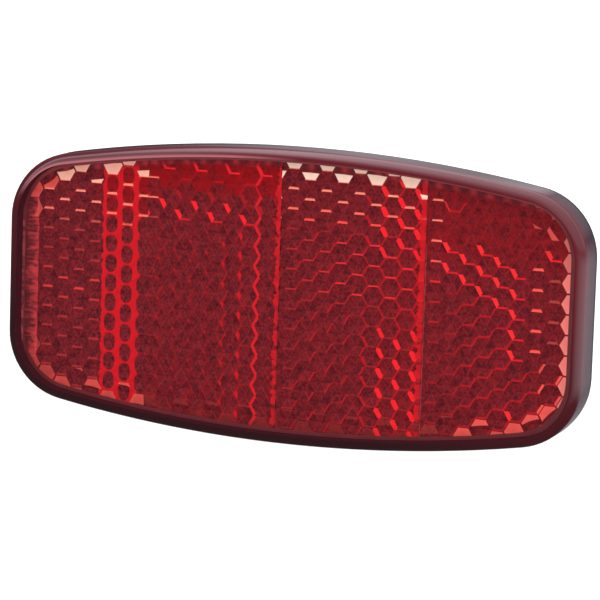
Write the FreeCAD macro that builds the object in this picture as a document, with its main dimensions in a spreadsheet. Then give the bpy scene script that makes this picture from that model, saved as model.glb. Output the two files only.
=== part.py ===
# Rear reflector for a bicycle's luggage rack: a clear red lens with moulded cube corners, a black back
# cover welded into its skirt, and two studs with their washers and nuts. Millimetres, +Z up, the lens
# faces -Y and the studs point along +Y. The origin is midway between the studs, on the plane where the
# two bosses meet the rack's plate.
import FreeCAD, Part
import math
import os
import Sketcher

doc = FreeCAD.newDocument("rear_reflector")
V = FreeCAD.Vector

# Driving dimensions
SIZES = {
    "face_width": 97.0,
    "face_height": 47.1,
    "long_edge_radius": 224.0,
    "corner_radius": 11.0,
    "lens_depth": 6.0,
    "front_edge_radius": 1.6,
    "front_wall": 2.2,
    "skirt_wall": 1.6,
    "field_margin": 2.2,
    "plain_strip": 2.3,
    "field_step": 0.2,
    "hex_across_flats": 3.2,
    "row_edge": 14.0,
    "block_gap": 0.12,
    "seam_left": -24.9,
    "seam_middle": -2.15,
    "seam_right": 22.1,
    "column_outer_left": -42.3,
    "column_inner_left": -24.0,
    "column_inner_right": -0.08,
    "column_outer_right": 23.89,
    "cover_inset": 0.1,
    "cover_thickness": 1.2,
    "spigot_clearance": 0.1,
    "spigot_wall": 0.9,
    "spigot_height": 0.8,
    "boss_diameter": 13.0,
    "boss_stand": 2.5,
    "boss_root_radius": 0.8,
    "boss_floor": 1.2,
    "stud_end_distance": 8.5,
    "head_across_flats": 8.0,
    "head_thickness": 2.3,
    "head_clearance": 0.05,
    "neck_diameter": 6.0,
    "neck_clearance": 0.05,
    "shank_diameter": 5.0,
    "shank_length": 2.4,
    "thread_pitch_diameter": 4.48,
    "stud_stand": 11.0,
    "stud_chamfer": 0.6,
    "plate_grip": 2.5,
    "washer_bore": 5.3,
    "washer_diameter": 10.0,
    "washer_thickness": 1.0,
    "spring_bore": 5.1,
    "spring_diameter": 9.2,
    "spring_thickness": 1.2,
    "spring_slit": 0.7,
    "nut_across_flats": 8.0,
    "nut_height": 4.0,
}

sheet = doc.addObject("Spreadsheet::Sheet", "sizes")
for row, (name, value) in enumerate(SIZES.items(), start=1):
    sheet.set(f"A{row}", name)
    sheet.set(f"B{row}", str(value))
    sheet.setAlias(f"B{row}", name)
doc.recompute()


def size(name):
    return float(sheet.get(name))


def origin_plane(body, role):
    return next(item for item in body.Origin.OriginFeatures if item.Role == role)


def new_sketch(body, name, role, offset="0"):
    """A sketch on one of the body's planes, moved along the plane's normal by a formula of the sizes."""
    sketch = body.newObject("Sketcher::SketchObject", name)
    sketch.AttachmentSupport = [(origin_plane(body, role), "")]
    sketch.MapMode = "FlatFace"
    sketch.setExpression("AttachmentOffset.Base.z", offset)
    return sketch


def dimension(sketch, name, constraint, formula):
    index = sketch.addConstraint(constraint)
    sketch.renameConstraint(index, name)
    sketch.setExpression(f"Constraints.{name}", formula)


def add_outline(sketch, tag, inset_name, inset):
    """The face's outline, drawn inward by an inset: long arcs above and below, straight ends, round corners."""
    half_width = size("face_width") / 2 - inset
    long_radius = size("long_edge_radius") - inset
    corner = size("corner_radius") - inset
    drop = size("long_edge_radius") - size("face_height") / 2
    corner_x = half_width - corner
    corner_y = math.sqrt((long_radius - corner) ** 2 - corner_x ** 2) - drop
    lean = math.atan2(corner_y + drop, corner_x)
    up, side = math.pi / 2, V(0, 0, 1)

    def arc(x, y, radius, start, end):
        return Part.ArcOfCircle(Part.Circle(V(x, y, 0), side, radius), start, end)

    shapes = [
        arc(0, -drop, long_radius, lean, 2 * up - lean),
        arc(-corner_x, corner_y, corner, 2 * up - lean, 2 * up),
        Part.LineSegment(V(-half_width, corner_y, 0), V(-half_width, -corner_y, 0)),
        arc(-corner_x, -corner_y, corner, 2 * up, 2 * up + lean),
        arc(0, drop, long_radius, 2 * up + lean, 4 * up - lean),
        arc(corner_x, -corner_y, corner, 4 * up - lean, 4 * up),
        Part.LineSegment(V(half_width, -corner_y, 0), V(half_width, corner_y, 0)),
        arc(corner_x, corner_y, corner, 0, lean),
    ]
    first = sketch.GeometryCount
    sketch.addGeometry(shapes, False)
    top, corner_ul, left, corner_ll, bottom, corner_lr, right, corner_ur = range(first, first + 8)
    joins = [(top, 2, corner_ul, 1), (corner_ul, 2, left, 1), (left, 2, corner_ll, 1),
             (corner_ll, 2, bottom, 1), (bottom, 2, corner_lr, 1), (corner_lr, 2, right, 1),
             (right, 2, corner_ur, 1), (corner_ur, 2, top, 1)]
    for one, one_end, other, other_end in joins:
        sketch.addConstraint(Sketcher.Constraint("Tangent", one, one_end, other, other_end))
    for middle in (top, bottom):
        sketch.addConstraint(Sketcher.Constraint("PointOnObject", middle, 3, -2))
    for other in (corner_ul, corner_ll, corner_lr):
        sketch.addConstraint(Sketcher.Constraint("Equal", corner_ur, other))
    sketch.addConstraint(Sketcher.Constraint("Equal", top, bottom))
    rise = "sizes.long_edge_radius - sizes.face_height / 2"
    dimension(sketch, f"{tag}_long", Sketcher.Constraint("Radius", top, long_radius),
              f"sizes.long_edge_radius - ({inset_name})")
    dimension(sketch, f"{tag}_corner", Sketcher.Constraint("Radius", corner_ur, corner),
              f"sizes.corner_radius - ({inset_name})")
    dimension(sketch, f"{tag}_right", Sketcher.Constraint("DistanceX", -1, 1, right, 1, half_width),
              f"sizes.face_width / 2 - ({inset_name})")
    dimension(sketch, f"{tag}_left", Sketcher.Constraint("DistanceX", left, 1, -1, 1, half_width),
              f"sizes.face_width / 2 - ({inset_name})")
    dimension(sketch, f"{tag}_drop", Sketcher.Constraint("DistanceY", top, 3, -1, 1, drop), rise)
    dimension(sketch, f"{tag}_rise", Sketcher.Constraint("DistanceY", -1, 1, bottom, 3, drop), rise)


def add_circle(sketch, name, x, x_formula, diameter_name):
    """A circle on the sketch's level axis, its centre at a signed formula."""
    circle = sketch.addGeometry(Part.Circle(V(x, 0, 0), V(0, 0, 1), size(diameter_name) / 2), False)
    dimension(sketch, name, Sketcher.Constraint("Diameter", circle, size(diameter_name)),
              f"sizes.{diameter_name}")
    place_on_axis(sketch, name, circle, x, x_formula)
    return circle


def place_on_axis(sketch, name, circle, x, x_formula):
    if x == 0:
        sketch.addConstraint(Sketcher.Constraint("Coincident", circle, 3, -1, 1))
        return
    sketch.addConstraint(Sketcher.Constraint("PointOnObject", circle, 3, -1))
    ends = (-1, 1, circle, 3) if x > 0 else (circle, 3, -1, 1)
    dimension(sketch, f"{name}_at", Sketcher.Constraint("DistanceX", *ends, abs(x)), x_formula)


def add_hexagon(sketch, name, x, x_formula, flats, flats_formula):
    """A regular hexagon with level flats above and below, driven by the circle inside its flats."""
    radius = flats / math.sqrt(3)
    corners = [V(x + radius * math.cos(math.radians(60 * i)), radius * math.sin(math.radians(60 * i)), 0)
               for i in range(6)]
    first = sketch.GeometryCount
    sketch.addGeometry([Part.LineSegment(corners[i], corners[(i + 1) % 6]) for i in range(6)], False)
    inner = sketch.addGeometry(Part.Circle(V(x, 0, 0), V(0, 0, 1), flats / 2), True)
    for i in range(6):
        sketch.addConstraint(Sketcher.Constraint("Coincident", first + i, 2, first + (i + 1) % 6, 1))
        sketch.addConstraint(Sketcher.Constraint("Tangent", first + i, inner))
    for i in range(1, 6):
        sketch.addConstraint(Sketcher.Constraint("Equal", first, first + i))
    sketch.addConstraint(Sketcher.Constraint("Horizontal", first + 1))
    dimension(sketch, name, Sketcher.Constraint("Diameter", inner, flats), flats_formula)
    place_on_axis(sketch, name, inner, x, x_formula)


def pad(body, name, sketch, length, reversed_way=False):
    feature = body.newObject("PartDesign::Pad", name)
    feature.Profile = sketch
    feature.setExpression("Length", length)
    feature.Reversed = reversed_way
    doc.recompute()
    return feature


def pocket(body, name, sketch, length, reversed_way=False):
    feature = body.newObject("PartDesign::Pocket", name)
    feature.Profile = sketch
    feature.setExpression("Length", length)
    feature.Reversed = reversed_way
    doc.recompute()
    return feature


def round_edges(body, name, base, radius, wanted):
    """Round the edges of the base feature that the test picks out."""
    feature = body.newObject("PartDesign::Fillet", name)
    picked = [f"Edge{i}" for i, edge in enumerate(base.Shape.Edges, start=1) if wanted(edge)]
    feature.Base = (base, picked)
    feature.setExpression("Radius", radius)
    doc.recompute()
    return feature


def in_plane(edge, y):
    return all(abs(vertex.Y - y) < 1e-4 for vertex in edge.Vertexes)


seat_of_skirt = "sizes.boss_stand + sizes.cover_thickness"
front = -(size("boss_stand") + size("cover_thickness") + size("lens_depth"))

# Lens: front wall, rounded front edge and skirt
cap = doc.addObject("PartDesign::Body", "lens_cap")
outline = new_sketch(cap, "lens_outline", "XZ_Plane", seat_of_skirt)
add_outline(outline, "face", "0", 0)
block = pad(cap, "lens_block", outline, "sizes.lens_depth")
rounded = round_edges(cap, "front_edge", block, "sizes.front_edge_radius", lambda edge: in_plane(edge, front))
inside = new_sketch(cap, "lens_inside", "XZ_Plane", seat_of_skirt)
add_outline(inside, "inside", "sizes.skirt_wall", size("skirt_wall"))
pocket(cap, "lens_hollow", inside, "sizes.lens_depth - sizes.front_wall", True)


# Lens: the cube corners, four blocks of hexagonal pins whose tips are three square faces each
def cube_corner_block(start, left, right, half_turn):
    """A closed solid under a sheet of cube corners, wider than the block it is trimmed to."""
    flats = size("hex_across_flats")
    pitch = flats * math.sqrt(3) / 2
    reach = flats / math.sqrt(3)
    edge = flats / math.sqrt(2)
    valley = front + size("front_wall") + size("field_step")
    base = valley - size("field_step") - size("front_wall") / 2
    depth = {0: 2 * edge / math.sqrt(3), 1: edge / math.sqrt(3), 2: 0.0}
    top = size("face_height") / 2
    turn = 60 if half_turn else 0

    def at(x, z, kind):
        return V(round(x, 6), round(valley + depth[kind], 6), round(z, 6))

    faces = []
    rims = {}
    first = math.floor((left - start) / pitch) - 1
    last = math.ceil((right - start) / pitch) + 1
    for column in range(first, last + 1):
        x = start + column * pitch
        shift = size("row_edge") - flats / 2 + (flats / 2 if column % 2 else 0)
        for row in range(math.floor((-top - shift) / flats) - 1, math.ceil((top - shift) / flats) + 2):
            z = shift + row * flats
            ring = []
            for i in range(6):
                angle = math.radians(60 * i)
                kind = 1 if (60 * i + turn) % 120 else 2
                ring.append(at(x + reach * math.cos(angle), z + reach * math.sin(angle), kind))
            tip = at(x, z, 0)
            start_at = 1 if not half_turn else 0
            for i in range(start_at, start_at + 6, 2):
                corners = [tip, ring[i % 6], ring[(i + 1) % 6], ring[(i + 2) % 6], tip]
                faces.append(Part.Face(Part.makePolygon(corners)))
            for i in range(6):
                pair = (tuple(ring[i]), tuple(ring[(i + 1) % 6]))
                if pair[::-1] in rims:
                    del rims[pair[::-1]]
                else:
                    rims[pair] = True
    following = {}
    for one, other in rims:
        following[one] = other
        foot = [V(*one), V(*other), V(other[0], base, other[2]), V(one[0], base, one[2]), V(*one)]
        faces.append(Part.Face(Part.makePolygon(foot)))
    point = next(iter(following))
    floor = [point]
    while following[floor[-1]] != point:
        floor.append(following[floor[-1]])
    floor.append(point)
    faces.append(Part.Face(Part.makePolygon([V(x, base, z) for x, y, z in floor])))
    shell = Part.makeCompound(faces)
    shell.sewShape()
    solid = Part.Solid(shell.Shells[0])
    if solid.Volume < 0:
        solid.reverse()
    return solid


field = doc.addObject("PartDesign::Body", "pin_field")
field_sketch = new_sketch(field, "field_outline", "XZ_Plane", seat_of_skirt)
add_outline(field_sketch, "field", "sizes.field_margin", size("field_margin"))
pad(field, "field_block", field_sketch, "sizes.lens_depth - sizes.front_wall / 2")

# A plain strip without pins is left at the left end
half_face = size("face_width") / 2
strip_edge = -(half_face - size("field_margin") - size("plain_strip"))
edges = [strip_edge, size("seam_left"), size("seam_middle"), size("seam_right"), half_face]
edge_formulas = ["-(sizes.face_width / 2 - sizes.field_margin - sizes.plain_strip)", "sizes.seam_left",
                 "sizes.seam_middle", "sizes.seam_right", "sizes.face_width / 2"]
columns = ["column_outer_left", "column_inner_left", "column_inner_right", "column_outer_right"]
pin_blocks = []
for i, column in enumerate(columns):
    raw = doc.addObject("Part::Feature", f"cube_corners_{i + 1}")
    raw.Shape = cube_corner_block(size(column), edges[i], edges[i + 1], i % 2 == 1)
    strip = doc.addObject("Part::Box", f"block_strip_{i + 1}")
    strip.setExpression("Length", f"{edge_formulas[i + 1]} - ({edge_formulas[i]}) - sizes.block_gap")
    strip.setExpression("Width", "sizes.lens_depth")
    strip.setExpression("Height", "sizes.face_height")
    strip.setExpression("Placement.Base.x", f"{edge_formulas[i]} + sizes.block_gap / 2")
    strip.setExpression("Placement.Base.y", f"-({seat_of_skirt} + sizes.lens_depth)")
    strip.setExpression("Placement.Base.z", "-sizes.face_height / 2")
    space = doc.addObject("Part::Common", f"block_space_{i + 1}")
    space.Base = field
    space.Tool = strip
    trimmed = doc.addObject("Part::Common", f"pin_block_{i + 1}")
    trimmed.Base = raw
    trimmed.Tool = space
    pin_blocks.append(trimmed)
lens = doc.addObject("Part::MultiFuse", "lens")
lens.Shapes = [cap] + pin_blocks
doc.recompute()
for trimmed in pin_blocks:
    if trimmed.Shape.isNull() or len(trimmed.Shape.Solids) != 1:
        raise RuntimeError(f"{trimmed.Name} isn't one solid")

# Back cover: plate, locating spigot and two bosses that hold the studs' heads
cover = doc.addObject("PartDesign::Body", "back_cover")
plate = new_sketch(cover, "plate_outline", "XZ_Plane", "sizes.boss_stand")
add_outline(plate, "plate", "sizes.cover_inset", size("cover_inset"))
pad(cover, "plate", plate, "sizes.cover_thickness")
spigot = new_sketch(cover, "spigot_outline", "XZ_Plane", seat_of_skirt)
spigot_inset = size("skirt_wall") + size("spigot_clearance")
add_outline(spigot, "outer", "sizes.skirt_wall + sizes.spigot_clearance", spigot_inset)
add_outline(spigot, "inner", "sizes.skirt_wall + sizes.spigot_clearance + sizes.spigot_wall",
            spigot_inset + size("spigot_wall"))
pad(cover, "spigot", spigot, "sizes.spigot_height")
sides = [("left", -1), ("right", 1)]
half_spacing = size("face_width") / 2 - size("stud_end_distance")
spacing_formula = "sizes.face_width / 2 - sizes.stud_end_distance"
bosses = new_sketch(cover, "boss_outline", "XZ_Plane")
for side, sign in sides:
    add_circle(bosses, f"boss_{side}", sign * half_spacing, spacing_formula, "boss_diameter")
standing = pad(cover, "bosses", bosses, "sizes.boss_stand")
plate_back = -size("boss_stand")
rooted = round_edges(
    cover, "boss_roots", standing, "sizes.boss_root_radius",
    lambda edge: in_plane(edge, plate_back) and abs(edge.Length - math.pi * size("boss_diameter")) < 0.01)
heads = new_sketch(cover, "head_pockets", "XZ_Plane", seat_of_skirt)
pocket_flats = size("head_across_flats") + 2 * size("head_clearance")
for side, sign in sides:
    add_hexagon(heads, f"head_{side}", sign * half_spacing, spacing_formula, pocket_flats,
                "sizes.head_across_flats + 2 * sizes.head_clearance")
pocket(cover, "head_pocket", heads, "sizes.boss_stand + sizes.cover_thickness - sizes.boss_floor")
necks = new_sketch(cover, "neck_holes", "XZ_Plane", "sizes.boss_floor")
for side, sign in sides:
    hole = necks.addGeometry(Part.Circle(V(sign * half_spacing, 0, 0), V(0, 0, 1),
                                         size("neck_diameter") / 2 + size("neck_clearance")), False)
    dimension(necks, f"neck_{side}",
              Sketcher.Constraint("Diameter", hole, size("neck_diameter") + 2 * size("neck_clearance")),
              "sizes.neck_diameter + 2 * sizes.neck_clearance")
    place_on_axis(necks, f"neck_{side}", hole, sign * half_spacing, spacing_formula)
pocket(cover, "neck_hole", necks, "sizes.boss_floor")


# Turned and hexagonal pieces, each drawn on its own axis and set on its stud's axis
def turned(body, name, points, cut=False):
    """A closed profile of named radii and heights, turned about the body's Y axis."""
    sketch = new_sketch(body, f"{name}_profile", "XY_Plane")
    corners = [V(float(sheet.evalExpression(x)), float(sheet.evalExpression(y)), 0) for x, y in points]
    count = len(corners)
    sketch.addGeometry([Part.LineSegment(corners[i], corners[(i + 1) % count]) for i in range(count)], False)
    for i in range(count):
        sketch.addConstraint(Sketcher.Constraint("Coincident", i, 2, (i + 1) % count, 1))
    for i, (x, y) in enumerate(points):
        for axis, formula, value in (("X", x, corners[i].x), ("Y", y, corners[i].y)):
            if abs(value) < 1e-9:
                sketch.addConstraint(Sketcher.Constraint("PointOnObject", i, 1, -2 if axis == "X" else -1))
                continue
            ends = (-1, 1, i, 1) if value > 0 else (i, 1, -1, 1)
            dimension(sketch, f"{name}_{axis.lower()}{i}",
                      Sketcher.Constraint(f"Distance{axis}", *ends, abs(value)), f"abs({formula})")
    feature = body.newObject("PartDesign::Groove" if cut else "PartDesign::Revolution", name)
    feature.Profile = sketch
    feature.ReferenceAxis = (sketch, ["V_Axis"])
    feature.Angle = 360
    doc.recompute()
    return feature


def set_on_stud(body, sign, height):
    body.setExpression("Placement.Base.x", f"{sign} * ({spacing_formula})")
    body.setExpression("Placement.Base.y", height)


def make_stud(side, sign):
    """Stud: hexagonal head, neck through the boss's floor, plain length, thread at its pitch diameter."""
    stud = doc.addObject("PartDesign::Body", f"stud_{side}")
    head = new_sketch(stud, f"head_of_{side}", "XZ_Plane", "sizes.boss_floor")
    add_hexagon(head, "head", 0, "0", size("head_across_flats"), "sizes.head_across_flats")
    pad(stud, f"head_{side}", head, "sizes.head_thickness")
    neck_radius = "sizes.neck_diameter / 2"
    shank_radius = "sizes.shank_diameter / 2"
    thread_radius = "sizes.thread_pitch_diameter / 2"
    turned(stud, f"shank_{side}", [
        ("0", "-sizes.boss_floor"),
        (neck_radius, "-sizes.boss_floor"),
        (neck_radius, "0"),
        (shank_radius, "0"),
        (shank_radius, "sizes.shank_length"),
        (thread_radius, "sizes.shank_length"),
        (thread_radius, "sizes.stud_stand - sizes.stud_chamfer"),
        (f"{thread_radius} - sizes.stud_chamfer", "sizes.stud_stand"),
        ("0", "sizes.stud_stand"),
    ])
    set_on_stud(stud, sign, "0")
    return stud


def ring(body, name, bore, diameter, thickness):
    """A flat ring about the body's axis, between a named bore and a named diameter."""
    turned(body, name, [
        (f"sizes.{bore} / 2", "0"),
        (f"sizes.{diameter} / 2", "0"),
        (f"sizes.{diameter} / 2", f"sizes.{thickness}"),
        (f"sizes.{bore} / 2", f"sizes.{thickness}"),
    ])


def make_washer(side, sign):
    """Flat washer, on the far side of the rack's plate."""
    washer = doc.addObject("PartDesign::Body", f"washer_{side}")
    ring(washer, f"washer_ring_{side}", "washer_bore", "washer_diameter", "washer_thickness")
    set_on_stud(washer, sign, "sizes.plate_grip")
    return washer


def make_spring_washer(side, sign):
    """Spring washer with its slanting slit, drawn pressed flat."""
    spring = doc.addObject("PartDesign::Body", f"spring_washer_{side}")
    ring(spring, f"spring_ring_{side}", "spring_bore", "spring_diameter", "spring_thickness")
    slit = new_sketch(spring, f"slit_outline_{side}", "XY_Plane")
    half_slit, rise, lean = size("spring_slit") / 2, size("spring_thickness"), size("spring_thickness") / 4
    corners = [V(-half_slit - lean, 0, 0), V(half_slit - lean, 0, 0),
               V(half_slit + lean, rise, 0), V(-half_slit + lean, rise, 0)]
    slit.addGeometry([Part.LineSegment(corners[i], corners[(i + 1) % 4]) for i in range(4)], False)
    for i in range(4):
        slit.addConstraint(Sketcher.Constraint("Coincident", i, 2, (i + 1) % 4, 1))
    slit.addConstraint(Sketcher.Constraint("Horizontal", 0))
    slit.addConstraint(Sketcher.Constraint("Horizontal", 2))
    slit.addConstraint(Sketcher.Constraint("Parallel", 1, 3))
    slit.addConstraint(Sketcher.Constraint("PointOnObject", 0, 1, -1))
    dimension(slit, "width", Sketcher.Constraint("DistanceX", 0, 1, 0, 2, 2 * half_slit), "sizes.spring_slit")
    dimension(slit, "rise", Sketcher.Constraint("DistanceY", 1, 1, 1, 2, rise), "sizes.spring_thickness")
    dimension(slit, "slant", Sketcher.Constraint("DistanceX", 1, 1, 1, 2, 2 * lean),
              "sizes.spring_thickness / 2")
    dimension(slit, "start", Sketcher.Constraint("DistanceX", 0, 1, -1, 1, half_slit + lean),
              "sizes.spring_slit / 2 + sizes.spring_thickness / 4")
    pocket(spring, f"slit_{side}", slit, "sizes.spring_diameter", True)
    set_on_stud(spring, sign, "sizes.plate_grip + sizes.washer_thickness")
    return spring


def make_nut(side, sign):
    """Hexagonal nut with both faces chamfered, its thread at the pitch diameter."""
    nut = doc.addObject("PartDesign::Body", f"nut_{side}")
    hexagon = new_sketch(nut, f"nut_outline_{side}", "XZ_Plane")
    add_hexagon(hexagon, "nut", 0, "0", size("nut_across_flats"), "sizes.nut_across_flats")
    add_circle(hexagon, "thread", 0, "0", "thread_pitch_diameter")
    pad(nut, f"nut_block_{side}", hexagon, "sizes.nut_height", True)
    flat_radius = "sizes.nut_across_flats / 2"
    beyond_corners = "sizes.nut_across_flats / 2 * 1.2"
    drop = "sizes.nut_across_flats / 2 * 0.2 * 0.577"
    turned(nut, f"nut_front_{side}", [
        (flat_radius, "0"),
        (beyond_corners, "0"),
        (beyond_corners, drop),
    ], cut=True)
    turned(nut, f"nut_back_{side}", [
        (flat_radius, "sizes.nut_height"),
        (beyond_corners, "sizes.nut_height"),
        (beyond_corners, f"sizes.nut_height - {drop}"),
    ], cut=True)
    set_on_stud(nut, sign, "sizes.plate_grip + sizes.washer_thickness + sizes.spring_thickness")
    return nut


pieces = {"lens": lens, "back_cover": cover}
makers = {"stud": make_stud, "washer": make_washer, "spring_washer": make_spring_washer, "nut": make_nut}
for side, sign in sides:
    for name, maker in makers.items():
        pieces[f"{name}_{side}"] = maker(side, sign)

doc.recompute()

# Every object is sound before anything is written
for item in doc.Objects:
    if "Invalid" in item.State or "Error" in item.State:
        raise RuntimeError(f"{item.Name}: {item.State}")
os.makedirs("parts", exist_ok=True)
for name, piece in pieces.items():
    piece.Label = name
    shape = piece.Shape
    if shape.isNull() or not shape.isValid() or len(shape.Solids) != 1:
        raise RuntimeError(f"{name}: {len(shape.Solids)} solids, valid {shape.isValid()}")
    shape.exportStep(f"parts/{name}.step")
    print(name, round(shape.Volume, 3), "mm3", len(shape.Faces), "faces")
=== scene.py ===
import math

import bmesh
import bpy
import numpy as np
from mathutils import Matrix, Vector


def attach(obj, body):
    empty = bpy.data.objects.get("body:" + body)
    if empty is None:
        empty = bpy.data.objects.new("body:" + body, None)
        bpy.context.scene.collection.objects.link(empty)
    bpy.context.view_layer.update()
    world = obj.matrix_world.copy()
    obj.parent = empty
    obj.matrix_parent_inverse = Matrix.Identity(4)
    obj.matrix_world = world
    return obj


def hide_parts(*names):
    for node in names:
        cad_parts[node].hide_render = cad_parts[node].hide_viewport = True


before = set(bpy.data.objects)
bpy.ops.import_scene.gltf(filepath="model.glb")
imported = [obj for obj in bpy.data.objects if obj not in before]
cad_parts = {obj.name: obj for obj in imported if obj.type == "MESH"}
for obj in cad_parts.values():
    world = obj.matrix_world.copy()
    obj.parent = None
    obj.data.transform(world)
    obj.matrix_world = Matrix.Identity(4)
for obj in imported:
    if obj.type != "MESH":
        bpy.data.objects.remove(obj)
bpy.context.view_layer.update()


# Back cover: a black plastic moulding behind the lens, with a thin flange, a spigot inside the lens's
# skirt and two bosses for the studs. It is welded to the skirt's rear edge. Its solid is shown as it is.
MM = 0.001               # the pieces' sizes are written in millimetres


class Value:
    """A number travelling through a finish; sums and products of values add their Math nodes."""

    def __init__(self, finish, socket):
        self.finish = finish
        self.socket = socket

    def maths(self, operation, *terms, clamp=False):
        inputs = dict(enumerate(terms))
        made = self.finish.node("ShaderNodeMath", {"operation": operation, "use_clamp": clamp}, inputs)
        return Value(self.finish, made.outputs[0])

    def __add__(self, other):
        return self.maths("ADD", self, other)

    def __radd__(self, other):
        return self.maths("ADD", other, self)

    def __sub__(self, other):
        return self.maths("SUBTRACT", self, other)

    def __rsub__(self, other):
        return self.maths("SUBTRACT", other, self)

    def __mul__(self, other):
        return self.maths("MULTIPLY", self, other)

    def __rmul__(self, other):
        return self.maths("MULTIPLY", other, self)

    def __truediv__(self, other):
        return self.maths("DIVIDE", self, other)

    def __abs__(self):
        return self.maths("ABSOLUTE", self)

    def largest(self, other):
        return self.maths("MAXIMUM", self, other)

    def smallest(self, other):
        return self.maths("MINIMUM", self, other)

    def power(self, exponent):
        return self.maths("POWER", self, exponent)

    def held(self):
        """The value kept between 0 and 1."""
        return self.maths("ADD", self, 0.0, clamp=True)


class Tree:
    """A node tree that is put together one node at a time."""

    def __init__(self, tree):
        self.tree = tree
        self.tree.nodes.clear()

    def node(self, kind, settings=None, inputs=None):
        """Any node, its settings first and then the values or links of its sockets."""
        made = self.tree.nodes.new(kind)
        for key, value in (settings or {}).items():
            setattr(made, key, value)
        for key, value in (inputs or {}).items():
            self.feed(made.inputs[key], value)
        return made

    def feed(self, socket, value):
        """Link a value or a socket to the socket, or set it to a plain number or colour."""
        if isinstance(value, Value):
            value = value.socket
        if isinstance(value, bpy.types.NodeSocket):
            self.tree.links.new(value, socket)
        else:
            socket.default_value = value

    def parts(self, vector):
        """A vector's three parts as values."""
        split = self.node("ShaderNodeSeparateXYZ", None, {0: vector})
        return [Value(self, split.outputs[i]) for i in range(3)]

    def blend(self, share, first, second):
        """From the first colour to the second by the share."""
        made = self.node("ShaderNodeMix", {"data_type": "RGBA"}, {0: share, 6: first, 7: second})
        return made.outputs[2]


class Finish(Tree):
    """The finish of a piece: a material and its shader nodes."""

    def __init__(self, name):
        self.material = bpy.data.materials.new(name)
        self.material.use_nodes = True
        super().__init__(self.material.node_tree)

    def place(self):
        """Where a point lies on the piece, in millimetres, as three values."""
        coordinate = self.node("ShaderNodeTexCoord").outputs["Object"]
        scaled = self.node("ShaderNodeVectorMath", {"operation": "SCALE"}, {0: coordinate, "Scale": 1.0 / MM})
        return self.parts(scaled.outputs[0])

    def mottle(self, scale, detail=2.0, stretch=(1.0, 1.0, 1.0)):
        """Even noise between 0 and 1, its grains 1/scale of a metre wide before they are stretched."""
        coordinate = self.node("ShaderNodeTexCoord").outputs["Object"]
        drawn = self.node("ShaderNodeVectorMath", {"operation": "DIVIDE"}, {0: coordinate, 1: stretch})
        noise = self.node("ShaderNodeTexNoise", {"noise_dimensions": "3D"},
                          {"Vector": drawn.outputs[0], "Scale": scale, "Detail": detail})
        return Value(self, noise.outputs[0])

    def surface(self, shader):
        """The shader becomes the material's surface."""
        output = self.node("ShaderNodeOutputMaterial")
        self.tree.links.new(shader.outputs[0], output.inputs["Surface"])


def shade(red, green, blue):
    """A colour as the eye names it, 0 to 255 each, as the linear light that the shader takes."""
    parts = [value / 255 for value in (red, green, blue)]
    return tuple(p / 12.92 if p <= 0.04045 else ((p + 0.055) / 1.055) ** 2.4 for p in parts) + (1.0,)


def coat(node, finish):
    """A solid takes its one finish."""
    node.data.materials.clear()
    node.data.materials.append(finish.material)


black_plastic = Finish("black_plastic")
grain = black_plastic.mottle(2600.0)
black_plastic.surface(black_plastic.node("ShaderNodeBsdfPrincipled", None, {
    "Base Color": black_plastic.blend(grain, shade(18, 17, 18), shade(26, 25, 26)),
    "Roughness": 0.34 + grain * 0.14,
    "Normal": black_plastic.node("ShaderNodeBump", None, {
        "Strength": 0.12, "Distance": 0.00004, "Height": grain}).outputs[0],
}))
coat(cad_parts["back_cover"], black_plastic)


# Lens body: one clear red acrylic moulding. A flat polished window in front, a rounded edge and a skirt
# that drops to the back cover. The thick rounded edge and the skirt look nearly black-red from outside.
FACE_HALF_WIDTH = 48.5
FACE_HALF_HEIGHT = 23.55
LONG_EDGE_RADIUS = 224.0
CORNER_RADIUS = 11.0
EDGE_ROUND = 1.6
SKIRT_WALL = 1.6
FRONT_WALL = 2.2
FIELD_MARGIN = 2.2
MARGIN_EXTRA = 0.6
LENS_FRONT = -9.7
LENS_REAR = -3.7
INNER_WALL = LENS_FRONT + FRONT_WALL
LONG_DROP = LONG_EDGE_RADIUS - FACE_HALF_HEIGHT
CORNER_X = FACE_HALF_WIDTH - CORNER_RADIUS
CORNER_Z = math.sqrt((LONG_EDGE_RADIUS - CORNER_RADIUS) ** 2 - CORNER_X ** 2) - LONG_DROP
CORNER_STEPS = 14
LONG_STEPS = 26
ROUND_STEPS = 12


def face_outline(inset):
    """The face's outline drawn inward by an inset, anticlockwise as seen from the front, in millimetres."""
    lean = math.atan2(CORNER_Z + LONG_DROP, CORNER_X)
    quarter = []
    for i in range(CORNER_STEPS + 1):
        turn = lean * i / CORNER_STEPS
        radius = CORNER_RADIUS - inset
        quarter.append((CORNER_X + radius * math.cos(turn), CORNER_Z + radius * math.sin(turn)))
    for i in range(1, LONG_STEPS + 1):
        turn = lean + (math.pi / 2 - lean) * i / LONG_STEPS
        radius = LONG_EDGE_RADIUS - inset
        quarter.append((radius * math.cos(turn), radius * math.sin(turn) - LONG_DROP))
    upper = quarter + [(-x, z) for x, z in reversed(quarter[:-1])]
    return upper + [(x, -z) for x, z in reversed(upper)]


def sheet_of(rings, closed):
    """A sheet of rings, each an inset and a depth, every ring joined to the next.

    In a closed sheet the last ring is joined to the first too.
    """
    shape = bmesh.new()
    loops = []
    for inset, depth in rings:
        loops.append([shape.verts.new((x * MM, depth * MM, z * MM)) for x, z in face_outline(inset)])
    if closed:
        loops.append(loops[0])
    for near, far in zip(loops, loops[1:]):
        for j in range(len(near)):
            follow = (j + 1) % len(near)
            shape.faces.new((near[j], near[follow], far[follow], far[j]))
    return shape


def piece_from(shape, name, finishes):
    """A piece made of the shape, with its finishes."""
    data = bpy.data.meshes.new(name)
    shape.to_mesh(data)
    shape.free()
    piece = bpy.data.objects.new(name, data)
    bpy.context.scene.collection.objects.link(piece)
    for finish in finishes:
        data.materials.append(finish.material)
    return piece


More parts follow.
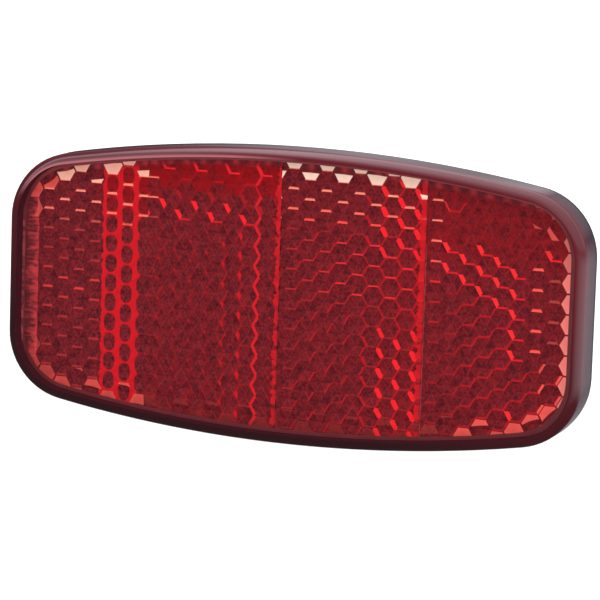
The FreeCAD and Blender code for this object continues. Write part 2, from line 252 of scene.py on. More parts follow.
# The moulded edge: deep red acrylic, polished, too thick to see through
edge_red = Finish("edge_red")
edge_x, edge_depth, edge_z = edge_red.place()
to_rear = ((edge_depth - LENS_FRONT - 1.0) / 4.0).held()
# Painted light: the edge is lighter towards the right and the top, and its rear violet-grey on the right for
# what it mirrors
painted_glow = (0.5 + edge_x / 150 + edge_z / 36).held()
edge_front = edge_red.blend(painted_glow, shade(42, 18, 22), shade(92, 24, 34))
edge_rear = edge_red.blend(painted_glow, shade(40, 16, 24), shade(52, 26, 40))
edge_body = edge_red.blend(to_rear, edge_front, edge_rear)
# Painted highlight: a pale line along the window's edge at the upper left, where a light is mirrored
highlight_by_window = (1.0 - (edge_depth - LENS_FRONT) / 0.07).held()
highlight_upper_left = ((edge_z - 13.0) / 3.0).held() * ((2.0 - edge_x) / 12.0).held()
edge_red.surface(edge_red.node("ShaderNodeBsdfPrincipled", None, {
    "Base Color": edge_red.blend(highlight_by_window * highlight_upper_left * 0.8, edge_body, shade(186, 112, 120)),
    "Roughness": 0.11,
    "IOR": 1.49,
}))

# The skirt's inner wall under the window, seen only through the window
deep_red = Finish("deep_red")
deep_red.surface(deep_red.node("ShaderNodeBsdfPrincipled", None, {
    "Base Color": shade(78, 31, 41), "Roughness": 0.8, "Specular IOR Level": 0.0}))

rim_rings = []
for i in range(ROUND_STEPS + 1):
    turn = math.pi / 2 * i / ROUND_STEPS
    rim_rings.append((EDGE_ROUND * (1 - math.sin(turn)), LENS_FRONT + EDGE_ROUND * (1 - math.cos(turn))))
rim_rings += [(0, LENS_REAR), (SKIRT_WALL, LENS_REAR), (SKIRT_WALL, INNER_WALL)]
rim_shape = sheet_of(rim_rings, closed=True)
for face in rim_shape.faces:
    face.smooth = True
    depths = [vertex.co.y / MM for vertex in face.verts]
    under_window = all(abs(depth - INNER_WALL) < 0.01 or abs(depth - LENS_FRONT) < 0.01 for depth in depths)
    face.material_index = 1 if under_window else 0
bmesh.ops.recalc_face_normals(rim_shape, faces=rim_shape.faces[:])
rim_shape.normal_update()
for edge in rim_shape.edges:
    edge.smooth = edge.calc_face_angle(0.0) < 0.6
lens_rim = piece_from(rim_shape, "lens_rim", [edge_red, deep_red])

# The window: a polished surface that mirrors a little and lets the pins behind it show
clear_window = Finish("clear_window")
layer_weight = clear_window.node("ShaderNodeLayerWeight", None, {"Blend": 0.5})
facing = Value(clear_window, layer_weight.outputs["Facing"])
clear_window.surface(clear_window.node("ShaderNodeMixShader", None, {
    0: 0.04 + facing.power(5.0) * 0.96,
    1: clear_window.node("ShaderNodeBsdfTransparent", None, {"Color": (1.0, 0.97, 0.97, 1.0)}).outputs[0],
    2: clear_window.node("ShaderNodeBsdfGlossy", None, {"Roughness": 0.03}).outputs[0],
}))
window_shape = bmesh.new()
window_shape.faces.new([window_shape.verts.new((x * MM, LENS_FRONT * MM, z * MM))
                        for x, z in face_outline(EDGE_ROUND)])
lens_window = piece_from(window_shape, "lens_window", [clear_window])

# The flat margin round the pins, seen through the window and a little wider towards its right end
margin_red = Finish("margin_red")
margin_x, _, margin_z = margin_red.place()
# Painted highlight: the margin is painted paler along the top for the glare under the top edge
glare_at_top = ((margin_z - 13.0) / 4.0).held()
broken = ((margin_red.mottle(900.0) - 0.42) * 6.0).held()
at_left = ((-46.4 - margin_x) / 0.2).held() * (1.0 - glare_at_top) * broken
cloudy = margin_red.blend(margin_red.mottle(420.0), shade(100, 32, 40), shade(124, 42, 48))
painted_glare_top = margin_red.blend(glare_at_top, cloudy, shade(146, 54, 60))
margin_red.surface(margin_red.node("ShaderNodeBsdfPrincipled", None, {
    "Base Color": margin_red.blend(at_left, painted_glare_top, shade(176, 76, 82)), "Roughness": 0.4}))
margin_shape = sheet_of([(SKIRT_WALL, INNER_WALL), (FIELD_MARGIN, INNER_WALL)], closed=False)
margin_shape.verts.ensure_lookup_table()
for vertex in margin_shape.verts[len(margin_shape.verts) // 2:]:
    vertex.co.x -= MARGIN_EXTRA * MM * min(max((vertex.co.x / MM - 30.0) / 14.0, 0.0), 1.0)
bmesh.ops.reverse_faces(margin_shape, faces=margin_shape.faces[:])
lens_margin = piece_from(margin_shape, "lens_margin", [margin_red])

for piece in (lens_rim, lens_window, lens_margin):
    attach(piece, "root")
    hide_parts("lens")


# Lens pins: the inner face of the same moulding, some four hundred hexagonal pins in four blocks, each
# tipped with a cube corner. A pin seen whole looks dark; light runs along its edges, and a pin whose
# opposite half is cut away flashes; this light and dark is painted into the pins' colour. A node tree lays
# out each block.
ACROSS_FLATS = 3.2
PIN_PITCH = ACROSS_FLATS * math.sqrt(3) / 2
PIN_REACH = ACROSS_FLATS / math.sqrt(3)
PIN_FACE = INNER_WALL + 0.05
PIN_HOLLOW = 0.45
ROWS = 15
ROWS_BELOW_EDGE = 11
ROW_EDGE = 14.0
FIELD_HALF_WIDTH = 46.6
FIELD_TRIM = 1.7
CUT_INSET = 2.7
PLAIN_STRIP = 2.3
LEFT_SEAM = -24.9
MIDDLE_SEAM = -2.15
RIGHT_SEAM = 22.1


class Layout(Tree):
    """A Geometry Nodes tree with named sizes, run once on an empty mesh."""

    def __init__(self, name, sizes):
        super().__init__(bpy.data.node_groups.new(name, "GeometryNodeTree"))
        kinds = {int: "NodeSocketInt", float: "NodeSocketFloat", bpy.types.Material: "NodeSocketMaterial"}
        self.tree.interface.new_socket("Geometry", in_out="INPUT", socket_type="NodeSocketGeometry")
        for title, value in sizes.items():
            self.tree.interface.new_socket(title, in_out="INPUT", socket_type=kinds[type(value)])
        self.tree.interface.new_socket("Geometry", in_out="OUTPUT", socket_type="NodeSocketGeometry")
        self.sizes = sizes
        self.entry = self.node("NodeGroupInput")

    def size(self, title):
        return self.entry.outputs[title]

    def maths(self, operation, *terms):
        return self.node("ShaderNodeMath", {"operation": operation}, dict(enumerate(terms))).outputs[0]

    def piece(self, name, geometry):
        """The geometry as one plain mesh in its finish, on an object of its own."""
        real = self.node("GeometryNodeRealizeInstances", None, {"Geometry": geometry})
        finished = self.node("GeometryNodeSetMaterial", None, {"Geometry": real.outputs[0],
                                                               "Material": self.size("Finish")})
        self.node("NodeGroupOutput", None, {0: finished.outputs[0]})
        piece = bpy.data.objects.new(name, bpy.data.meshes.new(name))
        bpy.context.scene.collection.objects.link(piece)
        modifier = piece.modifiers.new("layout", "NODES")
        modifier.node_group = self.tree
        for item in self.tree.interface.items_tree:
            if item.in_out == "INPUT" and item.name in self.sizes:
                modifier[item.identifier] = self.sizes[item.name]
        bpy.context.view_layer.update()
        seen = piece.evaluated_get(bpy.context.evaluated_depsgraph_get())
        plain = bpy.data.meshes.new_from_object(seen)
        piece.modifiers.clear()
        empty = piece.data
        piece.data = plain
        bpy.data.meshes.remove(empty)
        return piece


pin_red = Finish("pin_red")


def pin_block(number, start, left, right):
    """One block of pins, laid out in staggered columns: six facets a pin, each pin marked with its centre."""
    first = math.floor((max(left, -FIELD_HALF_WIDTH) - start) / PIN_PITCH)
    last = math.ceil((min(right, FIELD_HALF_WIDTH) - start) / PIN_PITCH)
    layout = Layout(f"pins_{number}", {
        "Start": (start + first * PIN_PITCH) * MM, "Pitch": PIN_PITCH * MM, "Across flats": ACROSS_FLATS * MM,
        "Reach": PIN_REACH * MM, "Hollow": PIN_HOLLOW * MM, "Face": PIN_FACE * MM,
        "Lowest": (ROW_EDGE - ACROSS_FLATS / 2 - ROWS_BELOW_EDGE * ACROSS_FLATS) * MM,
        "Rows": ROWS, "Pins": ROWS * (last - first + 1), "First is odd": first % 2,
        "Finish": pin_red.material,
    })
    index = layout.node("GeometryNodeInputIndex").outputs[0]
    column = layout.maths("FLOOR", layout.maths("DIVIDE", index, layout.size("Rows")))
    row = layout.maths("MODULO", index, layout.size("Rows"))
    odd = layout.maths("MODULO", layout.maths("ADD", column, layout.size("First is odd")), 2.0)
    across = layout.maths("MULTIPLY_ADD", column, layout.size("Pitch"), layout.size("Start"))
    step = layout.maths("MULTIPLY_ADD", odd, 0.5, row)
    height = layout.maths("MULTIPLY_ADD", step, layout.size("Across flats"), layout.size("Lowest"))
    spot = layout.node("ShaderNodeCombineXYZ", None, {0: across, 1: layout.size("Face"), 2: height})
    points = layout.node("GeometryNodePoints", None, {"Count": layout.size("Pins"),
                                                      "Position": spot.outputs[0]})
    pin = layout.node("GeometryNodeMeshCircle", {"fill_type": "TRIANGLE_FAN"},
                      {"Vertices": 6, "Radius": layout.size("Reach")})
    flat = layout.node("GeometryNodeInputPosition").outputs[0]
    parts = layout.node("ShaderNodeSeparateXYZ", None, {0: flat})
    spread = layout.node("ShaderNodeVectorMath", {"operation": "LENGTH"}, {0: flat}).outputs["Value"]
    middle = layout.maths("SUBTRACT", 1.0, layout.maths("DIVIDE", spread, layout.size("Reach")))
    sunk = layout.maths("MULTIPLY", middle, layout.size("Hollow"))
    stood = layout.node("ShaderNodeCombineXYZ", None, {0: parts.outputs[0], 1: sunk, 2: parts.outputs[1]})
    pin_up = layout.node("GeometryNodeSetPosition", None, {"Geometry": pin.outputs[0],
                                                           "Position": stood.outputs[0]})
    bed = layout.node("GeometryNodeInstanceOnPoints", None, {"Points": points.outputs[0],
                                                             "Instance": pin_up.outputs[0]})
    own_place = layout.node("GeometryNodeInputPosition").outputs[0]
    marked = layout.node("GeometryNodeStoreNamedAttribute",
                         {"data_type": "FLOAT_VECTOR", "domain": "INSTANCE"},
                         {"Geometry": bed.outputs[0], "Name": "pin_centre", "Value": own_place})
    return layout.piece(f"lens_pins_{number}", marked.outputs[0])


def rise(value, low, high):
    """From 0 at low to 1 at high."""
    return min(max((value - low) / (high - low), 0.0), 1.0)


def peak(value, middle, spread):
    """1 at the middle, falling away on both sides."""
    return math.exp(-((value - middle) / spread) ** 2)


def between(value, low, high, soft=0.4):
    """1 from low to high, fading to 0 over a soft edge outside them."""
    return rise(value, low - soft, low) * rise(-value, -high - soft, -high)


UPPER_RIGHT, TOP, UPPER_LEFT, LOWER_LEFT, BOTTOM, LOWER_RIGHT = range(6)
SLANTED = (UPPER_RIGHT, UPPER_LEFT, LOWER_LEFT, LOWER_RIGHT)
NO_LIGHT = (0.0, 0.1, 0.0)


def outer_left(side, x, z, pin_x, pin_z):
    """Light along a pin's side in the outer left block: its strength, its width and how pink it is."""
    if side != BOTTOM:
        return NO_LIGHT
    if pin_x > -32.5 and z < 8.0:
        return 0.15, 0.3, 0.0
    strength = max(rise(z, 6.5, 11.5), 0.8 * peak(z, -1.5, 5.5), 0.4)
    return strength, 0.34, 0.8 * rise(z, 7.0, 13.0) + 0.12


def inner_left(side, x, z, pin_x, pin_z):
    """The inner left block: short bright strokes at the top, light growing towards the middle seam."""
    if side == BOTTOM and x < -23.0:
        return 0.25 + 0.75 * rise(z, 10.0, 14.0), 0.24, 0.6 * rise(z, 8.0, 14.0)
    if side == LOWER_LEFT and z > 10.5:
        upper = 0.95 * peak(z, 19.6, 0.5)
        strokes = max(peak(z, 13.2, 0.5), peak(z, 11.6, 0.5), 0.45 * peak(z, 14.8, 0.4))
        return max(upper, strokes * (1 - 0.5 * rise(x, -9.5, -5))), 0.62 - 0.2 * rise(z, 14, 16), 0.0
    if side == BOTTOM and z > 10.5:
        return max(0.9 * peak(z, 18.8, 0.5), 0.75 * peak(z, 10.8, 0.5), 0.45 * peak(z, 17.2, 0.5)), 0.3, 0.0
    column = round((pin_x + 4.6) / PIN_PITCH)
    if column == 0:
        return (0.8 if side in (UPPER_LEFT, LOWER_LEFT) else 0.0), 0.28, 0.0
    if column == -1:
        return (0.8 if side in (UPPER_RIGHT, LOWER_RIGHT) else 0.3 * (side != BOTTOM)), 0.2, 0.0
    if column == -2:
        return (0.5 * (z < 8.0) if side == UPPER_LEFT else 0.2 * (side in SLANTED)), 0.22, 0.0
    return (0.14 if side in SLANTED and column < 0 else 0.0), 0.14, 0.0


def inner_right(side, x, z, pin_x, pin_z):
    """The inner right block: bars at the top, rising steps below, a net of walls on the right."""
    net = pin_x > 13.0
    if side == BOTTOM:
        low = 0.35 if net else 0.12 + 0.25 * rise(-x, -2.0, 0.0)
        middle = 0.85 * between(z, 0.5, 9.5, 2.0) * (0.75 + 0.25 * rise(x, 0, 9))
        width = 0.34 - 0.1 * rise(-z, -12.0, -9.0)
        return max(rise(z, 11.0, 12.3), middle, low), width, 0.85 * rise(z, 11.5, 16.5) + 0.05
    if side == LOWER_RIGHT and not net:
        return 0.6 * rise(12.0 - z, 0, 2) * rise(x, -0.5, 2.5), 0.26, 0.0
    if net and side in (UPPER_RIGHT, LOWER_LEFT):
        thick = max(rise(z, 7.0, 9.0), rise(-z, 3.0, 5.0))
        return 0.65 + 0.35 * thick * rise(x, 13.0, 15.0), 0.16 + 0.24 * thick, 0.0
    if net and side in (UPPER_LEFT, LOWER_RIGHT):
        return 0.6 * rise(x, 13.5, 15.5), 0.16, 0.0
    if net and side == TOP:
        return 0.6 * between(z, 0.5, 8.5, 1.5) * rise(x, 14.5, 16.0), 0.12, 0.0
    return NO_LIGHT


def outer_right(side, x, z, pin_x, pin_z):
    """The outer right block: slanting chains falling to the right, steps rising below them."""
    slope = 0.5775
    lowest = 7.2 - slope * (pin_x - 26.66) if pin_x < 36.5 else -5.7
    highest = 11.3 if pin_x < 28 else (9.7 if pin_x < 31 else 11.3 - slope * (pin_x - 32.2))
    in_chain = between(pin_z, lowest, highest, 0.5) * (25.5 < pin_x < 39.0)
    steps = 0.6 * rise(lowest - pin_z, 0.0, 2.0) * rise(x, 24.0, 30.0)
    top_row = peak(pin_z, 17.2, 0.5) * (25.5 < pin_x < 28.0)
    by_end = 42 < pin_x < 44 and 10 < pin_z < 11.5
    if side == LOWER_LEFT:
        vee = 0.8 * peak(pin_z, 17.2, 0.5) * (25.5 < pin_x < 32.0)
        corner = by_end or (36.5 < pin_x < 39.0 and -15.5 < pin_z < -14.0)
        return max(in_chain, vee, 1.0 if corner else 0.0), 0.62 if in_chain > vee or corner else 0.26, 0.04
    if side == BOTTOM:
        by_seam = pin_x < 25.0
        seam_bar = by_seam * (0.35 + 0.65 * rise(z, -7.0, 9.0))
        end_bar = (1.0 if pin_x < 42.0 else 0.45) * (39.0 < pin_x < 44.0) * between(z, -6.5, 8.5)
        strength = max(seam_bar, end_bar, 0.8 * in_chain, 0.6 * top_row, 0.9 * by_end, steps)
        pink = 0.7 * by_seam * rise(z, 4.0, 13.0) + 0.3 * (end_bar > 0)
        return strength, 0.3 + 0.12 * (end_bar > 0), pink
    if side == LOWER_RIGHT:
        lower_end = 0.9 * (39.0 < pin_x < 44.5) * rise(-pin_z, 5.0, 7.0)
        return max(0.7 * top_row, lower_end, steps), 0.28 + 0.14 * (lower_end > 0), 0.3 * lower_end
    if side in (UPPER_LEFT, UPPER_RIGHT):
        return 0.3 * in_chain, 0.14, 0.0
    return NO_LIGHT


def bead_glint_of_pin(number, x, z):
    """The size of the painted highlight in a pin's left corner, one of the bright beads that only the inner
    left block shows.
    """
    if number == 2 and z < 10.0 and x > -22.5:
        return 0.34 + 0.3 * rise(x, -13.0, -7.0) * rise(-x, 5.5, 6.5)
    return 0.0


def glow_of_core(number, x, z):
    """How far a pin's middle is from dark towards a clear deep red."""
    if number == 1:
        return 0.75 * rise(x, -34.5, -31.5) * rise(z, 9.0, 14.0)
    if number == 2:
        return 0.1 + 0.8 * rise(z, 14.5, 17.5)
    if number == 3:
        return 0.1 + 0.15 * rise(x, 14.0, 20.0)
    return 0.12 + 0.25 * rise(z, 6.0, 11.0)


def flash_of_pin(number, x, z):
    """How brightly the cut pins along the field's outline flash."""
    if x > 42.5:
        return 1.0 if z < 9.0 else 0.7
    if x < -41.0:
        return 0.75 * rise(z, 8.0, 12.0) + 0.5 * rise(-z, 10.0, 13.0)
    if z > 0:
        return 1.0 if number in (1, 3) else 0.5 * (x > 40.0)
    if number == 4:
        return 0.92 if x > 27.0 else 0.2
    return 0.7 if number == 1 else 0.12


def light_pins(mesh, number, left, right, side_rule):
    """Write on each corner of a block's facets what the finish needs: its pin, its seams and its light."""
    centres = np.zeros(len(mesh.vertices) * 3)
    mesh.attributes["pin_centre"].data.foreach_get("vector", centres)
    centres = centres.reshape(-1, 3) / MM
    titles = ("pin_own", "side_light", "core_light", "facet")
    for title in titles:
        mesh.attributes.new(title, "FLOAT_VECTOR", "CORNER")
    mesh.uv_layers.new(name="along_side")
    pin_own, side_light, core_light, facet = (mesh.attributes[title] for title in titles)
    along_side = mesh.uv_layers["along_side"]
    for face in mesh.polygons:
        corners = [mesh.vertices[i].co / MM for i in face.vertices]
        pin_x, _, pin_z = centres[face.vertices[0]]
        facet_middle = sum(corners, Vector()) / len(corners)
        side = int(math.degrees(math.atan2(facet_middle.z - pin_z, facet_middle.x - pin_x)) % 360 // 60)
        outward = math.radians(60 * side + 30)
        side_x = pin_x + ACROSS_FLATS / 2 * math.cos(outward)
        side_z = pin_z + ACROSS_FLATS / 2 * math.sin(outward)
        chance = math.sin(pin_x * 12.9898 + pin_z * 78.233 + side * 37.719) * 43758.5453
        # A facet's tone: alternate facets painted a little lighter and darker for the reflection each takes,
        # with a random part
        tone = 0.3 * (side % 2) + 0.7 * (chance - math.floor(chance))
        oval = 1.0 if number == 1 and pin_x > -35.0 else 0.0
        strength, width, pink = side_rule(side, side_x, side_z, pin_x, pin_z)
        bead_glint = bead_glint_of_pin(number, pin_x, pin_z)
        glow, flash = glow_of_core(number, pin_x, pin_z), flash_of_pin(number, pin_x, pin_z)
        for loop, corner in zip(face.loop_indices, corners):
            pin_own.data[loop].vector = (pin_x, left, pin_z)
            side_light.data[loop].vector = (strength, width, pink)
            core_light.data[loop].vector = (glow, flash, right)
            facet.data[loop].vector = (tone, bead_glint, oval)
            dx, dz = corner.x - pin_x, corner.z - pin_z
            if math.hypot(dx, dz) > 0.5:
                turn = math.degrees(math.atan2(dz, dx)) % 360
                along_side.uv[loop].vector = (0.0 if round(turn / 60) % 6 == side else 1.0, 0.0)
            else:
                along_side.uv[loop].vector = (0.5, 1.0)


def off_field(vertex):
    """Whether a point lies beyond the outline of the field of pins."""
    x, z = abs(vertex.co.x) / MM, abs(vertex.co.z) / MM
    in_corner = x > CORNER_X and z > CORNER_Z
    return (x > FACE_HALF_WIDTH - FIELD_TRIM
            or math.hypot(x, z + LONG_DROP) > LONG_EDGE_RADIUS - FIELD_TRIM
            or (in_corner and math.hypot(x - CORNER_X, z - CORNER_Z) > CORNER_RADIUS - FIELD_TRIM))


def trim_to_field(mesh, left, right):
    """Cut a block at its seams and take away the facets beyond the field's outline."""
    shape = bmesh.new()
    shape.from_mesh(mesh)
    for cut, outward in ((left, -1), (right, 1)):
        bmesh.ops.bisect_plane(shape, geom=shape.verts[:] + shape.edges[:] + shape.faces[:],
                               plane_co=(cut * MM, 0, 0), plane_no=(outward, 0, 0), clear_outer=True)
    outside = [face for face in shape.faces if all(off_field(vertex) for vertex in face.verts)]
    bmesh.ops.delete(shape, geom=outside, context="FACES")
    if sum(face.normal.y for face in shape.faces) > 0:
        bmesh.ops.reverse_faces(shape, faces=shape.faces[:])
    shape.to_mesh(mesh)
    shape.free()


# Each block's first column, its seams on the left and right, and the rule of its light
blocks = [
    (-42.3, -FACE_HALF_WIDTH, LEFT_SEAM, outer_left),
    (-24.0, LEFT_SEAM, MIDDLE_SEAM, inner_left),
    (-0.08, MIDDLE_SEAM, RIGHT_SEAM, inner_right),
    (23.89, RIGHT_SEAM, FACE_HALF_WIDTH, outer_right),
]
for number, (start, left, right, side_rule) in enumerate(blocks, start=1):
    block = pin_block(number, start, left, right)
    light_pins(block.data, number, left, right, side_rule)
    trim_to_field(block.data, left, right)
    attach(block, "root")
    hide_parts("lens")


def carried(title):
    """The three numbers that each corner of a facet carries under a title."""
    return pin_red.parts(pin_red.node("ShaderNodeAttribute", {"attribute_name": title}).outputs["Vector"])


# The pins' finish, their light painted into the colour. First the painted light along each side, a little
# ragged
x, _, z = pin_red.place()
centre_x, block_left, centre_z = carried("pin_own")
strength, width, pink = carried("side_light")
core_glow, flash_strength, block_right = carried("core_light")
tone, bead_glint, oval = carried("facet")
u, v, _ = pin_red.parts(pin_red.node("ShaderNodeUVMap", {"uv_map": "along_side"}).outputs[0])
cloud = pin_red.mottle(700.0)
fine = pin_red.mottle(2400.0)
lively = 0.75 + fine * 0.5
from_side = v * (ACROSS_FLATS / 2)
strip = ((width * (0.8 + cloud * 0.4) - from_side) / 0.12 + 0.5).held() * strength * lively

# Painted light on round walls in the outer left block, painted highlights as beads in the inner left one, and
# faint painted stars of light, one on every pin
across, along = abs(x - centre_x), abs(z - centre_z)
oval_far = (across / 0.98).power(2.4) + (along / 1.42).power(2.4) + (cloud - 0.5) * 0.5
wall_end = ((3.4 - abs(x + 29.45) + (cloud - 0.5) * 1.4) / 0.15).held()
round_wall_light = ((oval_far - 1.0) / 0.3 + 0.3).held() * wall_end * oval * (0.6 + fine * 0.8)
bead_far = ((x - centre_x + 1.75).power(2.0) + ((z - centre_z + 0.25) * 0.6).power(2.0)).power(0.5)
bead_light = ((bead_glint - bead_far) / 0.16).held() * lively * (bead_glint * 1.6)
# Painted stars: thin light lines along the six spokes of every pin
spoke = (u - v * 0.5).smallest(1.0 - v * 0.5 - u) * (ACROSS_FLATS / 2)
star_glint = (1.0 - spoke / 0.11).held() * ((along - 0.12) / 0.05).held() * 0.4

# A half pin flashes where the half opposite is cut away by the field's outline
opposite_x = centre_x * 2.0 - x
opposite_z = abs(centre_z * 2.0 - z)
from_arc = (opposite_x.power(2.0) + (opposite_z + LONG_DROP).power(2.0)).power(0.5) \
    - (LONG_EDGE_RADIUS - CUT_INSET)
from_end = abs(opposite_x) - (FACE_HALF_WIDTH - CUT_INSET)
corner_x = (abs(opposite_x) - CORNER_X).largest(0.0)
corner_z = (opposite_z - CORNER_Z).largest(0.0)
in_corner = (corner_x * 1000.0).held()
from_corner = (corner_x.power(2.0) + corner_z.power(2.0)).power(0.5) - (CORNER_RADIUS - CUT_INSET)
beyond = from_arc.largest(from_end).largest(from_corner - (1.0 - in_corner) * 50.0)
cut_away = (beyond / 0.08 + 0.5).held()
flash = cut_away * flash_strength * ((from_side - 0.1) / 0.08).held()

# It glows a clear red where the half opposite is cut away by the seam on its right
seam_half = ((opposite_x - block_right) / 0.1 + 0.5).held() * (1.0 - cut_away) * (block_left + 30.0).held()
ragged = ((x - centre_x + 1.1 + (cloud - 0.5) * 1.5 + (fine - 0.5) * 0.8) / 0.2).held()
fading = 1.0 - ((along - 1.0) / 0.3).held() * ((2.0 - z) / 8.0).held() * 0.75
past_seam = seam_half * ragged * lively * fading

# The colours, laid one over the other: middles, painted stars, painted light on the sides, seams and a
# painted light line at one
speckle = ((fine - 0.5) * 2.2 + (cloud - 0.5) * 1.2 + tone * 0.3 + 0.35).held()
dark = pin_red.blend(speckle, shade(70, 17, 25), shade(127, 30, 38))
lifted = pin_red.blend((core_glow * (speckle * 1.2 + 0.3)).held(), dark, shade(146, 3, 10))
star_glinted = pin_red.blend(star_glint * (0.46 - core_glow * 0.34), lifted, shade(190, 70, 76))
vivid = pin_red.blend(((strength - 0.7) * 5.0).held(), shade(200, 20, 32), shade(242, 32, 42))
red_light = pin_red.blend(pink, vivid, shade(255, 142, 120))
striped = pin_red.blend(strip.largest(round_wall_light).largest(bead_light).held(), star_glinted, red_light)
seamed = pin_red.blend(past_seam * 0.8, striped, shade(208, 24, 34))
# Painted light line just inside the outer right block's left seam
at_seam = (1.0 - abs(x - block_left - 0.15) / 0.09).held() * (block_left - 20.0).held()
seam_glint = at_seam * ((11.0 - z) / 3.0).held() * 0.5
seam_glinted = pin_red.blend(seam_glint, seamed, shade(190, 90, 96))

# The plain strip at the left end, and a painted haze of light under the top edge that each column draws up
# into tongues
streaks = pin_red.mottle(2200.0, 3.0, (6.0, 1.0, 1.0))
strip_tone = ((cloud - 0.5) * 1.6 + (streaks - 0.5) * 3.0 + (x + 46.0) / 2.4).held()
strip_red = pin_red.blend(strip_tone, shade(96, 34, 40), shade(194, 60, 66))
on_strip = ((FIELD_MARGIN + PLAIN_STRIP - FACE_HALF_WIDTH - x) / 0.15).held()
stripped = pin_red.blend(on_strip, seam_glinted, strip_red)
from_top = LONG_EDGE_RADIUS - FIELD_MARGIN - (x.power(2.0) + (z + LONG_DROP).power(2.0)).power(0.5)
near_top = ((1.1 + (cloud - 0.5) * 1.2 - from_top) / 0.6).held() * (z * 0.2).held()
tongue_light = pin_red.blend((1.0 - across / 0.9).held(), shade(98, 34, 44), shade(176, 56, 64))
haze_lit = pin_red.blend(near_top * 0.7, stripped, tongue_light)

# The flashes over all, pale along the top and pink at the right end
pale = ((centre_z - 8.0) / 4.0).held() * (centre_x + 41.5).held() * (24.0 - centre_x).held()
at_end = (centre_x - 43.5).held()
flash_red = pin_red.blend(at_end, shade(248, 96, 88), shade(255, 136, 128))
flash_pale = pin_red.blend(((centre_x + 20.0) / 20.0).held(), shade(255, 186, 164), shade(255, 222, 200))
flashed = pin_red.blend(flash, haze_lit, pin_red.blend(pale, flash_red, flash_pale))
pin_red.surface(pin_red.node("ShaderNodeBsdfPrincipled", None, {
    "Base Color": flashed, "Roughness": 0.4, "Specular IOR Level": 0.05}))


# Hardware: two M5 studs whose heads sit in the bosses, with a flat washer, a spring washer and a nut each.
# Steel with bright zinc plating. The solids are shown; the nuts' edges are eased and the studs get thread.
STUD_SPACING = 80.0
THREAD_PITCH = 0.8
THREAD_CORE = 2.2
THREAD_CREST = 2.48
THREAD_START = 2.9
THREAD_LENGTH = 7.4
NUT_BEVEL = 0.12

zinc = Finish("bright_zinc")
wear = zinc.mottle(900.0)
zinc.surface(zinc.node("ShaderNodeBsdfPrincipled", None, {
    "Base Color": zinc.blend(wear, shade(176, 178, 184), shade(206, 207, 210)),
    "Metallic": 1.0,
    "Roughness": 0.24 + wear * 0.16,
}))


def thread_ridge(name, stud_x):
    """The ridge of a stud's thread: a small section swept along a helix and laid along the stud."""
    winding = Layout(name, {
        "Turns": THREAD_LENGTH / THREAD_PITCH, "Core": THREAD_CORE * MM, "Length": THREAD_LENGTH * MM,
        "Ridge": (THREAD_CREST - THREAD_CORE) * MM, "Start": THREAD_START * MM, "Across": stud_x * MM,
        "Steps": 28, "Finish": zinc.material,
    })
    helix = winding.node("GeometryNodeCurveSpiral", None, {
        "Resolution": winding.size("Steps"), "Rotations": winding.size("Turns"),
        "Start Radius": winding.size("Core"), "End Radius": winding.size("Core"),
        "Height": winding.size("Length")})
    upright = winding.node("GeometryNodeSetCurveNormal", {"mode": "Z_UP"}, {0: helix.outputs[0]})
    section = winding.node("GeometryNodeCurvePrimitiveCircle", {"mode": "RADIUS"},
                           {"Resolution": 4, "Radius": winding.size("Ridge")})
    ridge = winding.node("GeometryNodeCurveToMesh", None, {
        "Curve": upright.outputs[0], "Profile Curve": section.outputs[0], "Fill Caps": True})
    start = winding.node("ShaderNodeCombineXYZ", None, {0: winding.size("Across"), 1: winding.size("Start")})
    laid = winding.node("GeometryNodeTransform", None, {
        "Geometry": ridge.outputs[0], "Translation": start.outputs[0], "Rotation": (-math.pi / 2, 0, 0)})
    return winding.piece(name, laid.outputs[0])


for side, stud_x in (("left", -STUD_SPACING / 2), ("right", STUD_SPACING / 2)):
    for name in ("stud", "washer", "spring_washer", "nut"):
        coat(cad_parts[f"{name}_{side}"], zinc)
    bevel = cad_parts[f"nut_{side}"].modifiers.new("bevel", "BEVEL")
    bevel.width, bevel.segments, bevel.limit_method = NUT_BEVEL * MM, 2, "ANGLE"
    thread = thread_ridge(f"thread_{side}", stud_x)
    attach(thread, "root")


# Stage: a white floor well below the reflector and a white surround. What the polished edge mirrors is
# shaped as in a studio, with a long soft light above the face and paler walls to the right and behind.
white_floor = Finish("white_floor")
seen_directly = white_floor.node("ShaderNodeLightPath").outputs["Is Camera Ray"]
floor_glow = white_floor.blend(seen_directly, (0.0, 0.0, 0.0, 1.0), (0.1, 0.1, 0.1, 1.0))
white_floor.surface(white_floor.node("ShaderNodeBsdfPrincipled", None, {
    "Base Color": (0.74, 0.74, 0.74, 1.0), "Roughness": 0.9, "Emission Color": floor_glow,
    "Emission Strength": 1.0}))
floor_shape = bmesh.new()
bmesh.ops.create_grid(floor_shape, x_segments=1, y_segments=1, size=0.35,
                      matrix=Matrix.Translation((0, 0, -0.08)))
floor = piece_from(floor_shape, "floor", [white_floor])
floor.visible_glossy = False

world = bpy.data.worlds.new("studio")
bpy.context.scene.world = world
world.use_nodes = True
surround = Tree(world.node_tree)
path = surround.node("ShaderNodeLightPath")
right_part, rear_part, up_part = surround.parts(surround.node("ShaderNodeTexCoord").outputs["Generated"])
behind_level = 0.22 + ((right_part + 0.43) * 9.0).held() * 0.33 - ((right_part + 0.3) * 5.0).held() * 0.33
behind = ((rear_part * 0.5 + up_part * 0.87 - 0.5) / 0.08).held() * behind_level
band = abs(rear_part - right_part - 0.27) / (1.6 + right_part * 2.4).largest(0.3)
from_left = ((-0.38 - right_part) / 0.16).held() * 1.8
from_right = ((right_part + 0.36) / 0.2).held() * 2.3
overhead = ((1.0 - band) * 1.6).held() * (up_part * 6.0).held() * (5.0 - from_left - from_right) \
    * (1.0 - (right_part + 0.05) * 0.6).held() \
    * (1.0 - ((rear_part - 0.55) * 4.0).held() * ((right_part + 0.25) * 6.0).held() * 0.8)
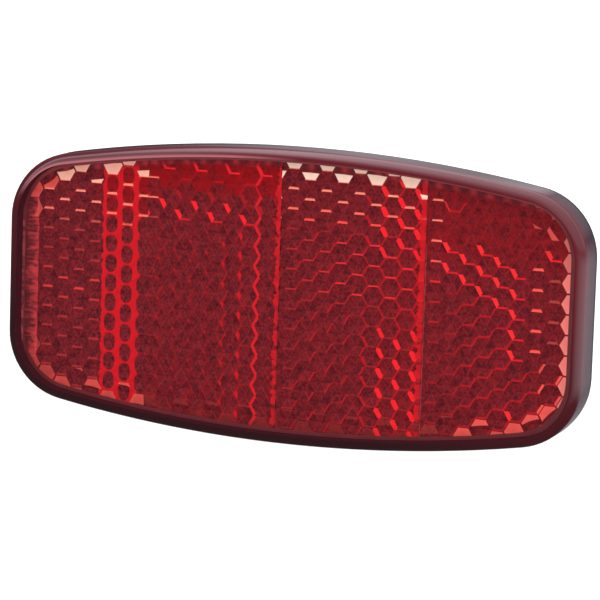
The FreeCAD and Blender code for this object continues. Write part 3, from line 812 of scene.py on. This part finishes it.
front_left = ((-0.37 - right_part) * 16.0).held() * (up_part * 4.0 - 0.2).held() \
    * ((-0.5 - rear_part) * 6.0).held() * 1.7
right_wall = right_part * (0.5 - up_part * 3.2).held() * ((up_part + 0.5) * 3.5).held() * 2.0
low_rear = ((rear_part - 0.85) * 10.0).held() * ((-0.1 - up_part) * 8.0).held() * 0.45
mirrored = behind.largest(overhead).largest(front_left).largest(right_wall).largest(low_rear).largest(0.06)
glossy_ray = Value(surround, path.outputs["Is Glossy Ray"])
camera_ray = Value(surround, path.outputs["Is Camera Ray"])
brightness = camera_ray.largest(glossy_ray * mirrored + (1.0 - glossy_ray) * 1.4)
tint = surround.blend(glossy_ray * (1.0 - camera_ray), (1.0, 1.0, 1.0, 1.0), (0.98, 0.93, 1.0, 1.0))
background = surround.node("ShaderNodeBackground", None, {"Color": tint, "Strength": brightness})
surround.node("ShaderNodeOutputWorld", None, {"Surface": background.outputs[0]})

lamp_data = bpy.data.lights.new("left_strip", "AREA")
lamp_data.shape = "RECTANGLE"
lamp_data.size, lamp_data.size_y = 0.3, 0.16
lamp_data.energy = 0.5
lamp = bpy.data.objects.new("left_strip", lamp_data)
bpy.context.scene.collection.objects.link(lamp)
lamp_at = Vector((-0.42, -0.5, 0.5))
lamp_aim = (Vector((-0.02, -0.01, 0)) - lamp_at).to_track_quat("-Z", "Y")
lamp.visible_glossy = False
lamp.matrix_world = Matrix.Translation(lamp_at) @ lamp_aim.to_matrix().to_4x4()

# Camera: to the right of the face and a little above it, rolled by under two degrees
CAMERA_TURN, CAMERA_LIFT, CAMERA_ROLL = map(math.radians, (20.499, 9.248, 1.88))
CAMERA_DISTANCE = 0.532907
CAMERA_LENS = 202.4
LOOK_AT = Vector((1.623, LENS_FRONT + 2.13, -0.311)) * MM
back = Vector((math.sin(CAMERA_TURN) * math.cos(CAMERA_LIFT), -math.cos(CAMERA_TURN) * math.cos(CAMERA_LIFT),
               math.sin(CAMERA_LIFT)))
level_right = Vector((math.cos(CAMERA_TURN), math.sin(CAMERA_TURN), 0))
level_up = back.cross(level_right)
right_way = math.cos(CAMERA_ROLL) * level_right + math.sin(CAMERA_ROLL) * level_up
up_way = -math.sin(CAMERA_ROLL) * level_right + math.cos(CAMERA_ROLL) * level_up
camera_data = bpy.data.cameras.new("camera")
camera_data.sensor_width = 36.0
camera_data.lens = CAMERA_LENS
camera_data.clip_start = 0.01
camera = bpy.data.objects.new("camera", camera_data)
bpy.context.scene.collection.objects.link(camera)
camera_place = Matrix((right_way, up_way, back)).transposed().to_4x4()
camera_place.translation = LOOK_AT + back * CAMERA_DISTANCE
camera.matrix_world = camera_place
bpy.context.scene.camera = camera
bpy.context.scene.view_settings.view_transform = "Standard"
